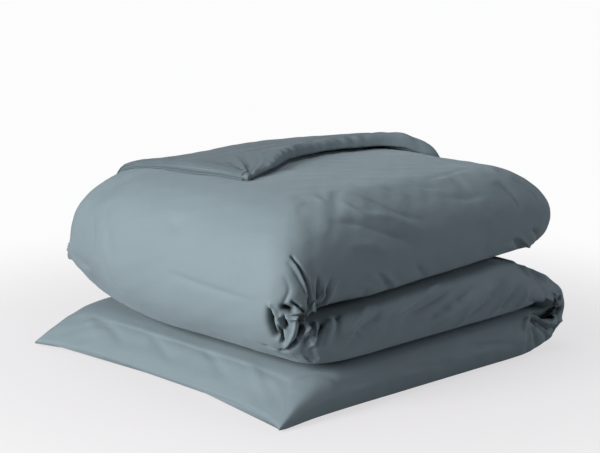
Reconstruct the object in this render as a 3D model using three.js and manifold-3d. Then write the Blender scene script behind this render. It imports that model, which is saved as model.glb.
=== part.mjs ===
// A superking duvet in its buttoned cover, folded lengthwise in three and then in four: a bottom, a middle
// and a top run lie on each other, and the mouth end is turned back over the top run as a thin flap.
// Millimetres, +Z up. +X runs from the foot edge to the lower fold, +Y from the front side to the back.
// The origin is the centre of the base.
import * as THREE from "three";
import { LoftGeometry } from "three/addons/geometries/LoftGeometry.js";
import { mergeVertices } from "three/addons/utils/BufferGeometryUtils.js";
import Module from "manifold-3d";

const wasm = await Module();
wasm.setup();

// Overall sizes of the folded stack
const stackWidth = 750;
const footX = -400;
const lowerNoseX = 400;
const upperNoseX = -395;
const topEndX = 375;

// Heights: the creases are planes that rise gently towards +X
const lowerCreaseZ = 66;
const lowerCreaseSlope = 0.03;
const upperCreaseZ = 172;
const upperCreaseSlope = 0.055;
const crownZ = 378;

// Cloth, wadding and clearances
const clothWall = 2;
const tickingWall = 1.5;
const layerGap = 0.5;
const foldGap = 0.3;
const footEdgeHeight = 12;

// How far the sides and the plan corners are rounded
const slopedSide = { radius: 105, flat: 0.4 };
const fullSide = { radius: 62, flat: 0.56 };
const cornerRadius = 60;

// Fold shapes
const footRise = 105;
const lowerNoseDepth = 84;
const lowerNoseTop = 215;
const upperFoldDepth = 100;
const crownRiseLength = 160;
const crownFallLength = 120;
const topEndZ = 275;
const topEndUnder = 70;
const bluntNose = 1;

// Nested layers are all drawn at these distances from the two ends and the two sides of a run, so that they
// stay parallel. A layer's skip is the number of end stations it stays back.
const endStations = [0, 12, 34, 42, 50, 84, 130];
const sideStations = [0, 18, 50, 100, 200];
const cavitySkip = 1;
const tickingSkip = 2;
const hollowSkip = 3;
const wadSkip = 4;

// Openings in the walls where cover and insert pass from one run into the next
const throatMargin = 108;
const throatHalfHeight = 12;
const lowerThroatFrom = 110;
const lowerThroatTo = 50;
const upperThroatFrom = 30;
const upperThroatTo = 90;

// The turned-back flap
const flapMouthX = -226;
const flapHingeX = 312;
const flapFrontY = -118;
const flapBackY = 354;
const flapLift = 3;
const flapEdgeHeight = 10;
const flapHingeHeight = 3;
const flapLoft = 9;
const flapShoulder = 60;
const flapHingeTaper = 30;
const flapSideWall = 5;
const mouthStations = [0, 24, 44, 52, 60, 104];
const hingeStations = [0, 14, 15, 30, 60];
const flapSideStations = [0, 8, 24, 60];

// The mouth's closure
const hemHeight = 1.2;
const hemGap = 0.3;
const buttonCount = 5;
const buttonRadius = 9;
const buttonHeight = 2.4;
const buttonHoleRadius = 1;
const buttonHoleCircle = 3;
const buttonSetback = 14;
const mouthRest = 0.4;

// Corner ties of the cover, loops of the insert and the label
const ringOuter = 7;
const ringInner = 4.4;
const ringHeight = 1;
const footRingSetback = 21;
const footRingInset = 90;
const mouthRingSetback = 33;
const mouthRingInset = 30;
const labelLength = 44;
const labelDepth = 16;
const labelHeight = 0.8;

// Colours of the finishes
const clothFinish = { color: 0x7f929b, roughness: 0.85, metalness: 0 };
const tickingFinish = { color: 0xf1efe9, roughness: 0.9, metalness: 0 };
const fillingFinish = { color: 0xfbfaf7, roughness: 1, metalness: 0 };
const buttonFinish = { color: 0x76868e, roughness: 0.35, metalness: 0 };
const tapeFinish = { color: 0x8d9ca3, roughness: 0.9, metalness: 0 };
const labelFinish = { color: 0xf5f4f0, roughness: 0.8, metalness: 0 };

// ---------------------------------------------------------------- outlines
const halfWidth = stackWidth / 2;
const clamp01 = (t) => Math.min(1, Math.max(0, t));
const quarterRound = (t) => Math.sqrt(1 - (1 - clamp01(t)) ** 2);
const mix = (a, b, t) => a + (b - a) * t;

const lowerCrease = (x) => lowerCreaseZ + lowerCreaseSlope * (x - upperNoseX - upperFoldDepth);
const upperCrease = (x) => upperCreaseZ + upperCreaseSlope * (x - upperNoseX);

// A run is one straight stretch of the folded duvet, between x = from and x = to. Its underside and top are
// functions of x and of where its ends are at that place across the width. Heights are drawn towards
// the pivot near the two sides, which rounds them.
const bottomRun = {
  from: footX,
  to: lowerNoseX,
  pivot: 0,
  side: slopedSide,
  underside: (x, start, end) => {
    const t = (end + bluntNose - x) / lowerNoseDepth;
    return lowerCrease(end) * (1 - quarterRound(t));
  },
  top: (x, start) => {
    const t = clamp01((x - start) / footRise);
    return mix(footEdgeHeight, lowerCrease(x), Math.sin((t * Math.PI) / 2)) - foldGap;
  },
};

const middleRun = {
  from: upperNoseX,
  to: lowerNoseX,
  pivot: (lowerCreaseZ + upperCreaseZ) / 2 + 12,
  side: fullSide,
  underside: (x, start) => {
    const t = (x - start + bluntNose) / upperFoldDepth;
    return mix(upperCrease(start), lowerCrease(x) + foldGap, quarterRound(t));
  },
  top: (x, start, end) => {
    const t = clamp01((end + bluntNose - x) / lowerNoseTop);
    return mix(lowerCrease(end), upperCrease(x), t ** 0.75) - foldGap;
  },
};

const topRun = {
  from: upperNoseX,
  to: topEndX,
  pivot: 262,
  side: fullSide,
  underside: (x, start, end) => {
    const t = (end + bluntNose - x) / topEndUnder;
    return mix(topEndZ, upperCrease(x) + foldGap, quarterRound(t));
  },
  top: (x, start, end) => {
    const rise = quarterRound((x - start + bluntNose) / crownRiseLength);
    const fall = quarterRound((end + bluntNose - x) / crownFallLength);
    const left = mix(upperCrease(start), crownZ, rise);
    const right = mix(topEndZ, crownZ, fall);
    return Math.min(left, right);
  },
};

// Rounding at a place y across the width: how far the ends draw in, and the height that is left.
const fromSide = (y) => halfWidth - Math.abs(y);
const endDraw = (y) => cornerRadius * (1 - quarterRound(fromSide(y) / cornerRadius));

function roundedZ(run, z, y) {
  const share = Math.max(run.side.flat, quarterRound(fromSide(y) / run.side.radius));
  return run.pivot + (z - run.pivot) * share;
}

// ---------------------------------------------------------------- solids
// A closed solid skinned through sections. Each section has a place y across the width and a list of points
// along it, with x, under and over.
function skinned(sections) {
  const outlines = sections.map(({ y, points }) => {
    const under = points.map((point) => new THREE.Vector3(point.x, y, point.under)).reverse();
    const over = points.map((point) => new THREE.Vector3(point.x, y, point.over));
    return [...under, ...over];
  });
  const loft = new LoftGeometry(outlines, { capStart: true, capEnd: true });
  return new THREE.BufferGeometry().copy(loft);
}

const clampTo = (value, low, high) => Math.min(high, Math.max(low, value));

function stationsBetween(from, to, fromDistances, toDistances) {
  const left = fromDistances.map((distance) => from + distance);
  const right = toDistances.map((distance) => to - distance).reverse();
  return [...left, (from + to) / 2, ...right];
}

// One layer of a run: its surfaces drawn in by inset, its ends drawn in by skip stations.
function runGeometry(run, { inset, skip }) {
  const ys = stationsBetween(-halfWidth, halfWidth, sideStations, sideStations);
  const sections = ys.map((y) => {
    const start = run.from + endDraw(y);
    const end = run.to - endDraw(y);
    const all = stationsBetween(start, end, endStations, endStations);
    const points = all.slice(skip, all.length - skip).map((x) => ({
      x,
      under: roundedZ(run, run.underside(x, start, end), y) + inset,
      over: roundedZ(run, run.top(x, start, end), y) - inset,
    }));
    return { y: clampTo(y, inset - halfWidth, halfWidth - inset), points };
  });
  return skinned(sections);
}

function manifoldOf(geometry) {
  geometry.deleteAttribute("normal");
  geometry.deleteAttribute("uv");
  const merged = mergeVertices(geometry, 1e-3);
  return new wasm.Manifold(
    new wasm.Mesh({
      numProp: 3,
      vertProperties: new Float32Array(merged.attributes.position.array),
      triVerts: new Uint32Array(merged.index.array),
    }),
  );
}

function geometryOf(solid) {
  const mesh = solid.getMesh();
  const geometry = new THREE.BufferGeometry();
  geometry.setAttribute("position", new THREE.BufferAttribute(mesh.vertProperties, 3));
  geometry.setIndex(new THREE.BufferAttribute(mesh.triVerts, 1));
  geometry.computeVertexNormals();
  return geometry;
}

function boxGeometry(low, high) {
  const size = high.map((v, i) => v - low[i]);
  const box = new THREE.BoxGeometry(...size);
  box.translate(...low.map((v, i) => v + size[i] / 2));
  return box;
}

function discGeometry(radius, height, x, y, z) {
  const disc = new THREE.CylinderGeometry(radius, radius, height, 20);
  disc.rotateX(Math.PI / 2);
  disc.translate(x, y, z + height / 2);
  return disc;
}

// ---------------------------------------------------------------- scene
const duvet = new THREE.Group();

function addPiece(name, geometry, finish) {
  const mesh = new THREE.Mesh(geometry, new THREE.MeshStandardMaterial(finish));
  mesh.name = name;
  duvet.add(mesh);
}

// ---------------------------------------------------------------- the three thick runs
const lowerThroat = {
  from: lowerNoseX - lowerThroatFrom,
  to: lowerNoseX - lowerThroatTo,
  crease: lowerCrease,
};
const upperThroat = {
  from: upperNoseX + upperThroatFrom,
  to: upperNoseX + upperThroatTo,
  crease: upperCrease,
};

function throatSolid(throat, inset) {
  const reach = halfWidth - throatMargin - inset;
  const z = throat.crease((throat.from + throat.to) / 2);
  return manifoldOf(
    boxGeometry(
      [throat.from + inset, -reach, z - throatHalfHeight],
      [throat.to - inset, reach, z + throatHalfHeight],
    ),
  );
}

function runShell(run, outer, inner, throats) {
  const outside = manifoldOf(runGeometry(run, outer));
  const hollowed = outside.subtract(manifoldOf(runGeometry(run, inner)));
  return throats.reduce((solid, throat) => solid.subtract(throatSolid(throat, inner.inset)), hollowed);
}

// Insets of the nested layers
const tickingInset = clothWall + layerGap;
const hollowInset = tickingInset + tickingWall;
const wadInset = hollowInset + layerGap;

// Cover, ticking and filling of one run, nested in each other.
function addRun(name, run, throats) {
  const cover = { inset: 0, skip: 0 };
  const cavity = { inset: clothWall, skip: cavitySkip };
  const ticking = { inset: tickingInset, skip: tickingSkip };
  const hollow = { inset: hollowInset, skip: hollowSkip };
  const wad = { inset: wadInset, skip: wadSkip };
  addPiece(`cover_${name}`, geometryOf(runShell(run, cover, cavity, throats)), clothFinish);
  addPiece(`ticking_${name}`, geometryOf(runShell(run, ticking, hollow, throats)), tickingFinish);
  addPiece(`filling_${name}`, runGeometry(run, wad), fillingFinish);
}

// ---------------------------------------------------------------- the turned-back flap
const flapUnder = (x) => topRun.top(x, topRun.from, topRun.to) + flapLift;

function flapThickness(x, y) {
  const fromEdges = Math.min(x - flapMouthX, y - flapFrontY, flapBackY - y);
  const loft = flapEdgeHeight + flapLoft * quarterRound(fromEdges / flapShoulder);
  const taper = quarterRound((flapHingeX - x) / flapHingeTaper);
  return mix(flapHingeHeight, loft, taper);
}

// The layers keep their insets where the flap is thick enough for them, and share what there is where it is thin.
const layeredHeight = 2 * wadInset + 1;
const insetWithin = (inset, thickness) => inset * Math.min(1, thickness / layeredHeight);

const flapYs = stationsBetween(flapFrontY, flapBackY, flapSideStations, flapSideStations);
const flapXs = stationsBetween(flapMouthX, flapHingeX, mouthStations, hingeStations);

// One layer of the flap. Its open ends reach past the layer around it.
function flapGeometry({ inset, side, mouthSkip, hingeSkip, mouthReach = 0, hingeReach = 0 }) {
  const xs = flapXs.slice(mouthSkip, flapXs.length - hingeSkip);
  const last = xs.length - 1;
  const placed = xs.map((x, i) => x - (i === 0 ? mouthReach : 0) + (i === last ? hingeReach : 0));
  const sections = flapYs.map((y) => ({
    y: clampTo(y, flapFrontY + side, flapBackY - side),
    points: xs.map((x, i) => {
      const thickness = flapThickness(x, y);
      const within = insetWithin(inset, thickness);
      return { x: placed[i], under: flapUnder(x) + within, over: flapUnder(x) + thickness - within };
    }),
  }));
  return skinned(sections);
}

function flapShell(outer, inner) {
  const outside = manifoldOf(flapGeometry(outer));
  return geometryOf(outside.subtract(manifoldOf(flapGeometry(inner))));
}

function addFlap() {
  const tickingSide = flapSideWall + layerGap;
  const hollowSide = tickingSide + tickingWall;
  const wadSide = hollowSide + layerGap;
  const cover = { inset: 0, side: 0, mouthSkip: 0, hingeSkip: 0 };
  const cavity = { inset: clothWall, side: flapSideWall, mouthSkip: 0, hingeSkip: 1, mouthReach: 1 };
  const ticking = { inset: tickingInset, side: tickingSide, mouthSkip: 2, hingeSkip: 2 };
  const hollow = { inset: hollowInset, side: hollowSide, mouthSkip: 3, hingeSkip: 2, hingeReach: 1 };
  const wad = { inset: wadInset, side: wadSide, mouthSkip: 4, hingeSkip: 3 };
  addPiece("cover_flap", flapShell(cover, cavity), clothFinish);
  addPiece("ticking_flap", flapShell(ticking, hollow), tickingFinish);
  addPiece("filling_flap", flapGeometry(wad), fillingFinish);
}

// A band of doubled cloth along one lip of the mouth, lying on the surface given. It stops short of the sides.
function hemGeometry(surface, height) {
  const xs = flapXs.slice(0, 2);
  const ys = flapYs.slice(2, -2);
  const band = (x, y) => ({ x, under: surface(x, y), over: surface(x, y) + height });
  const sections = ys.map((y) => ({ y, points: xs.map((x) => band(x, y)) }));
  return skinned(sections);
}

// The lower hem fills the gap between the flap and the top run, so that the flap rests on it.
function addHems() {
  const lowerHeight = flapLift - 2 * hemGap;
  const onTop = (x, y) => flapUnder(x) + flapThickness(x, y) + hemGap;
  const below = (x) => flapUnder(x) - hemGap - lowerHeight;
  addPiece("hem_upper", hemGeometry(onTop, hemHeight), clothFinish);
  addPiece("hem_lower", hemGeometry(below, lowerHeight), clothFinish);
}

// ---------------------------------------------------------------- small pieces
const mouthFloor = (x) => flapUnder(x) + clothWall + mouthRest;

function buttonGeometry(x, y, z) {
  let button = manifoldOf(discGeometry(buttonRadius, buttonHeight, x, y, z));
  for (const angle of [0, 90, 180, 270]) {
    const turn = (angle * Math.PI) / 180;
    const holeX = x + buttonHoleCircle * Math.cos(turn);
    const holeY = y + buttonHoleCircle * Math.sin(turn);
    const hole = discGeometry(buttonHoleRadius, 3 * buttonHeight, holeX, holeY, z - buttonHeight);
    button = button.subtract(manifoldOf(hole));
  }
  return geometryOf(button);
}

function addButtons() {
  const pitch = (flapBackY - flapFrontY) / buttonCount;
  const x = flapMouthX + buttonSetback;
  for (let i = 0; i < buttonCount; i++) {
    const y = flapFrontY + (i + 0.5) * pitch;
    addPiece(`button_${i + 1}`, buttonGeometry(x, y, mouthFloor(x)), buttonFinish);
  }
}

function ringGeometry(x, y, z) {
  const outer = manifoldOf(discGeometry(ringOuter, ringHeight, x, y, z));
  const inner = manifoldOf(discGeometry(ringInner, 3 * ringHeight, x, y, z - ringHeight));
  return geometryOf(outer.subtract(inner));
}

// A tie of the cover with a loop of the insert on top of it, at each of the duvet's four corners.
function addCornerTies() {
  const mouthX = flapMouthX + mouthRingSetback;
  const corners = [
    ["foot_front", footX + footRingSetback, footRingInset - halfWidth, clothWall + mouthRest],
    ["foot_back", footX + footRingSetback, halfWidth - footRingInset, clothWall + mouthRest],
    ["mouth_front", mouthX, flapFrontY + mouthRingInset, mouthFloor(mouthX)],
    ["mouth_back", mouthX, flapBackY - mouthRingInset, mouthFloor(mouthX)],
  ];
  for (const [corner, x, y, z] of corners) {
    addPiece(`tie_${corner}`, ringGeometry(x, y, z), tapeFinish);
    const loopZ = z + ringHeight + mouthRest;
    addPiece(`loop_${corner}`, ringGeometry(x + ringHeight, y, loopZ), tickingFinish);
  }
}

function addLabel() {
  const pitch = (flapBackY - flapFrontY) / buttonCount;
  const x = flapMouthX + buttonSetback - labelDepth / 2;
  const y = flapFrontY + pitch - labelLength / 2;
  const z = mouthFloor(x + labelDepth);
  const label = boxGeometry([x, y, z], [x + labelDepth, y + labelLength, z + labelHeight]);
  addPiece("care_label", label, labelFinish);
}

// ---------------------------------------------------------------- build
addRun("bottom", bottomRun, [lowerThroat]);
addRun("middle", middleRun, [lowerThroat, upperThroat]);
addRun("top", topRun, [upperThroat]);
addFlap();
addHems();
addButtons();
addCornerTies();
addLabel();

export default duvet;
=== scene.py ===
import math

import bmesh
import bpy
import numpy as np
from mathutils import Euler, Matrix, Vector
from mathutils.bvhtree import BVHTree


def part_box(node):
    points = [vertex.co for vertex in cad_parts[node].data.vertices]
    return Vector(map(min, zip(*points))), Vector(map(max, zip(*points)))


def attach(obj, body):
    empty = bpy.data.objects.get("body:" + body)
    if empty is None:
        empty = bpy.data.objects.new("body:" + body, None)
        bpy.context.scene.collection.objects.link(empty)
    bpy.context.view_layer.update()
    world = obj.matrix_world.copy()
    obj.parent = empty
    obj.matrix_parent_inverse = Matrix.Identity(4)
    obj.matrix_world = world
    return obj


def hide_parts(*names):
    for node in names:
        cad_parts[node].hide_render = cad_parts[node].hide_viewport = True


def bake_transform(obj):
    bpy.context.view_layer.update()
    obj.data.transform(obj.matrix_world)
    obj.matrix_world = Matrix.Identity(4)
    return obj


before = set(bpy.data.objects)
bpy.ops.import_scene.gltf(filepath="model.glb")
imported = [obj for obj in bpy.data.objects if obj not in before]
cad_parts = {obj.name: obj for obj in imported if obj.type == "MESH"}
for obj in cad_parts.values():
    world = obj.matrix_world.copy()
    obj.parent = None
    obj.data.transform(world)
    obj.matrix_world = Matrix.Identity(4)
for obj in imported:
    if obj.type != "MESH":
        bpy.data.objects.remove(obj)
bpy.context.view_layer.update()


# ------------------------------------------------------------------ studio
CAMERA_PLACE = (-1.9821, -2.1217, 0.814)
CAMERA_LENS = 87.48
CAMERA_FALL = 11.01  # degrees that it looks down
CAMERA_HEADING = 46.98  # degrees from the X axis that it looks along
BACKDROP_WHITE = (0.975, 0.975, 0.98, 1)
FLOOR_DROP = 0.0006
SWEEP_STEPS = 72
SWEEP_PROFILE = [(1.5, 0), (5.0, 0), (7.5, 0.3), (9.3, 1.3), (10.2, 3.0), (10.6, 6.0)]
SHADOW_REACH = (0.4, 1.4)  # the floor's own shade fades to the backdrop's between these distances

# Area lights: name, place, target, size, power and colour.
LIGHTS = [
    ("window_left", (-3.2, 0.15, 1.35), (-0.1, 0.0, 0.2), (1.4, 1.4), 150, (1.0, 0.99, 0.97)),
    ("front_fill", (2.5, -2.6, 1.3), (0.2, 0.0, 0.2), (2.0, 1.4), 31, (0.94, 0.97, 1.0)),
    ("overhead", (0.3, 0.3, 3.6), (0.0, 0.0, 0.2), (2.2, 2.2), 34, (0.97, 0.99, 1.0)),
]


def place_camera():
    data = bpy.data.cameras.new("studio_camera")
    data.sensor_width = 36.0
    data.lens = CAMERA_LENS
    data.clip_end = 60.0
    camera = bpy.data.objects.new("studio_camera", data)
    bpy.context.collection.objects.link(camera)
    camera.location = CAMERA_PLACE
    camera.rotation_euler = Euler((math.radians(90 - CAMERA_FALL), 0, math.radians(CAMERA_HEADING - 90)))
    bpy.context.scene.camera = camera


def area_light(name, place, target, size, power, colour):
    data = bpy.data.lights.new(name, "AREA")
    data.shape = "RECTANGLE"
    data.size, data.size_y = size
    data.energy = power
    data.color = colour
    light = bpy.data.objects.new(name, data)
    bpy.context.collection.objects.link(light)
    light.location = place
    aim = Vector(target) - Vector(place)
    light.rotation_euler = aim.to_track_quat("-Z", "Y").to_euler()


def studio_world():
    """White air behind the object for the camera, and a faint cool glow for everything else."""
    world = bpy.data.worlds.new("studio_air")
    bpy.context.scene.world = world
    world.use_nodes = True
    nodes, links = world.node_tree.nodes, world.node_tree.links
    nodes.clear()
    out = nodes.new("ShaderNodeOutputWorld")
    path = nodes.new("ShaderNodeLightPath")
    mix = nodes.new("ShaderNodeMixShader")
    seen = nodes.new("ShaderNodeBackground")
    seen.inputs["Color"].default_value = BACKDROP_WHITE
    glow = nodes.new("ShaderNodeBackground")
    glow.inputs["Color"].default_value = (0.9, 0.95, 1.0, 1)
    glow.inputs["Strength"].default_value = 0.15
    links.new(path.outputs["Is Camera Ray"], mix.inputs["Fac"])
    links.new(glow.outputs[0], mix.inputs[1])
    links.new(seen.outputs[0], mix.inputs[2])
    links.new(mix.outputs[0], out.inputs["Surface"])


def floor_material():
    """A pale floor that takes shadows near the object and melts into the white backdrop further out."""
    material = bpy.data.materials.new("studio_floor")
    material.use_nodes = True
    nodes, links = material.node_tree.nodes, material.node_tree.links
    nodes.clear()
    out = nodes.new("ShaderNodeOutputMaterial")
    path = nodes.new("ShaderNodeLightPath")
    seen = nodes.new("ShaderNodeMixShader")
    fade = nodes.new("ShaderNodeMixShader")
    add = nodes.new("ShaderNodeAddShader")
    place = nodes.new("ShaderNodeTexCoord")
    distance = nodes.new("ShaderNodeVectorMath")
    distance.operation = "LENGTH"
    reach = nodes.new("ShaderNodeMapRange")
    reach.interpolation_type = "SMOOTHSTEP"
    reach.inputs["From Min"].default_value, reach.inputs["From Max"].default_value = SHADOW_REACH
    matt = nodes.new("ShaderNodeBsdfDiffuse")
    matt.inputs["Color"].default_value = (0.17, 0.165, 0.17, 1)
    shine = nodes.new("ShaderNodeEmission")
    shine.inputs["Color"].default_value = (1.0, 0.985, 1.0, 1)
    shine.inputs["Strength"].default_value = 0.65
    backdrop = nodes.new("ShaderNodeEmission")
    backdrop.inputs["Color"].default_value = BACKDROP_WHITE
    bounce = nodes.new("ShaderNodeBsdfDiffuse")
    bounce.inputs["Color"].default_value = (0.42, 0.42, 0.43, 1)
    links.new(place.outputs["Object"], distance.inputs[0])
    links.new(distance.outputs["Value"], reach.inputs["Value"])
    links.new(matt.outputs[0], add.inputs[0])
    links.new(shine.outputs[0], add.inputs[1])
    links.new(reach.outputs["Result"], fade.inputs["Fac"])
    links.new(add.outputs[0], fade.inputs[1])
    links.new(backdrop.outputs[0], fade.inputs[2])
    links.new(path.outputs["Is Camera Ray"], seen.inputs["Fac"])
    links.new(bounce.outputs[0], seen.inputs[1])
    links.new(fade.outputs[0], seen.inputs[2])
    links.new(seen.outputs[0], out.inputs["Surface"])
    return material


def studio_sweep():
    """A floor that curves up into a backdrop all round."""
    mesh = bmesh.new()
    centre = mesh.verts.new((0, 0, -FLOOR_DROP))
    previous = None
    for radius, height in SWEEP_PROFILE:
        ring = []
        for i in range(SWEEP_STEPS):
            turn = 2 * math.pi * i / SWEEP_STEPS
            place = (radius * math.cos(turn), radius * math.sin(turn), height - FLOOR_DROP)
            ring.append(mesh.verts.new(place))
        for i in range(SWEEP_STEPS):
            j = (i + 1) % SWEEP_STEPS
            if previous is None:
                mesh.faces.new((centre, ring[i], ring[j]))
            else:
                mesh.faces.new((previous[i], ring[i], ring[j], previous[j]))
        previous = ring
    data = bpy.data.meshes.new("studio_sweep")
    mesh.to_mesh(data)
    mesh.free()
    for face in data.polygons:
        face.use_smooth = True
    sweep = bpy.data.objects.new("studio_sweep", data)
    bpy.context.collection.objects.link(sweep)
    data.materials.append(floor_material())


place_camera()
studio_world()
studio_sweep()
for light in LIGHTS:
    area_light(*light)
bpy.context.scene.view_settings.view_transform = "Standard"


# ------------------------------------------------------------------ the folded pad
HALF_WIDTH = 0.375
SKIN_GAP = 0.0032  # from a run's skin to the crease it lies on


def lower_crease(x):
    """Height of the crease between the bottom and middle runs."""
    return 0.082 + 0.015 * (x + 0.31)


def upper_crease(x):
    """Height of the crease between the middle and top runs."""
    return 0.176 + 0.058 * (x + 0.30)


# Ribs of the folded duvet from the foot edge to the end of the top run. Each is a point (x, z) on the outer
# face, which starts on the floor, and the point across the thickness from it, on the inner face. A crease's
# name with + or - stands for the height just over or under it.
BOTTOM_RIBS = [
    ((-0.400, 0.0030), (-0.400, 0.0090)),
    ((-0.386, 0.0008), (-0.386, 0.0210)),
    ((-0.362, 0.0000), (-0.362, 0.0400)),
    ((-0.330, 0.0000), (-0.330, 0.0590)),
    ((-0.295, 0.0000), (-0.292, 0.0725)),
    ((-0.250, 0.0000), (-0.250, "lower-")),
    ((-0.100, 0.0000), (-0.100, "lower-")),
    ((0.100, 0.0000), (0.100, "lower-")),
    ((0.240, 0.0000), (0.240, "lower-")),
    ((0.310, 0.0020), (0.305, "lower-")),
]
LOWER_FOLD_RIBS = [
    ((0.365, 0.0130), (0.333, 0.0880)),
    ((0.402, 0.0410), (0.343, 0.0900)),
    ((0.421, 0.0780), (0.346, 0.0925)),
    ((0.412, 0.1120), (0.343, 0.0950)),
    ((0.378, 0.1370), (0.333, 0.0962)),
    ((0.330, 0.1580), (0.310, 0.0966)),
]
MIDDLE_RIBS = [
    ((0.280, 0.1790), (0.270, "lower+")),
    ((0.220, 0.1990), (0.220, "lower+")),
    ((0.100, "upper-"), (0.100, "lower+")),
    ((-0.100, "upper-"), (-0.100, "lower+")),
    ((-0.230, "upper-"), (-0.190, "lower+")),
    ((-0.280, "upper-"), (-0.262, 0.0885)),
]
UPPER_FOLD_RIBS = [
    ((-0.303, 0.1738), (-0.318, 0.0960)),
    ((-0.311, 0.1748), (-0.358, 0.1150)),
    ((-0.315, 0.1758), (-0.384, 0.1480)),
    ((-0.3165, 0.1770), (-0.396, 0.1900)),
    ((-0.316, 0.1785), (-0.396, 0.2350)),
    ((-0.313, 0.1798), (-0.385, 0.2790)),
    ((-0.306, 0.1808), (-0.360, 0.3190)),
    ((-0.295, 0.1815), (-0.320, 0.3480)),
    ((-0.270, "upper+"), (-0.268, 0.3660)),
]
TOP_RIBS = [
    ((-0.200, "upper+"), (-0.200, 0.3730)),
    ((-0.050, "upper+"), (-0.050, 0.3760)),
    ((0.100, "upper+"), (0.100, 0.3770)),
    ((0.190, "upper+"), (0.200, 0.3770)),
    ((0.250, 0.2110), (0.262, 0.3740)),
    ((0.305, 0.2160), (0.312, 0.3640)),
    ((0.345, 0.2280), (0.350, 0.3440)),
    ((0.369, 0.2480), (0.371, 0.3200)),
    ((0.380, 0.2700), (0.380, 0.2980)),
]

CREASES = {"lower": lower_crease, "upper": upper_crease}


def rib_point(point):
    """A rib's point with its height as a number."""
    x, z = point
    if isinstance(z, str):
        z = CREASES[z[:-1]](x) + (SKIN_GAP if z[-1] == "+" else -SKIN_GAP)
    return (x, z)


def smooth_path(points, knots, places):
    """Points at the given places of a smooth path that passes through points at knots."""
    points = np.asarray(points, float)
    knots = np.asarray(knots, float)
    slopes = np.zeros_like(points)
    spans = np.diff(knots)[:, None]
    rates = np.diff(points, axis=0) / spans
    slopes[1:-1] = (rates[:-1] * spans[1:] + rates[1:] * spans[:-1]) / (spans[1:] + spans[:-1])
    slopes[0], slopes[-1] = rates[0], rates[-1]
    index = np.clip(np.searchsorted(knots, places, side="right") - 1, 0, len(knots) - 2)
    span = spans[index]
    t = ((places - knots[index])[:, None]) / span
    a, b = points[index], points[index + 1]
    ma, mb = slopes[index] * span, slopes[index + 1] * span
    return (
        (2 * t**3 - 3 * t**2 + 1) * a
        + (t**3 - 2 * t**2 + t) * ma
        + (-2 * t**3 + 3 * t**2) * b
        + (t**3 - t**2) * mb
    )


def ease(value, low, high):
    """0 below low, 1 above high, and a smooth rise between them."""
    t = np.clip((value - low) / (high - low), 0, 1)
    return t * t * (3 - 2 * t)


ROW_STEP = 0.0056
FOLD_ROW_STEP = 0.0028
FOLD_ROW_REACH = 0.03
FRONT_STEPS = 96
BACK_STEPS = 36
FACE_STEPS = 56
END_TRIM = 0.075  # how much the top run's end is narrowed on each side, over END_TRIM_LENGTH
END_TRIM_LENGTH = 0.13


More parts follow.
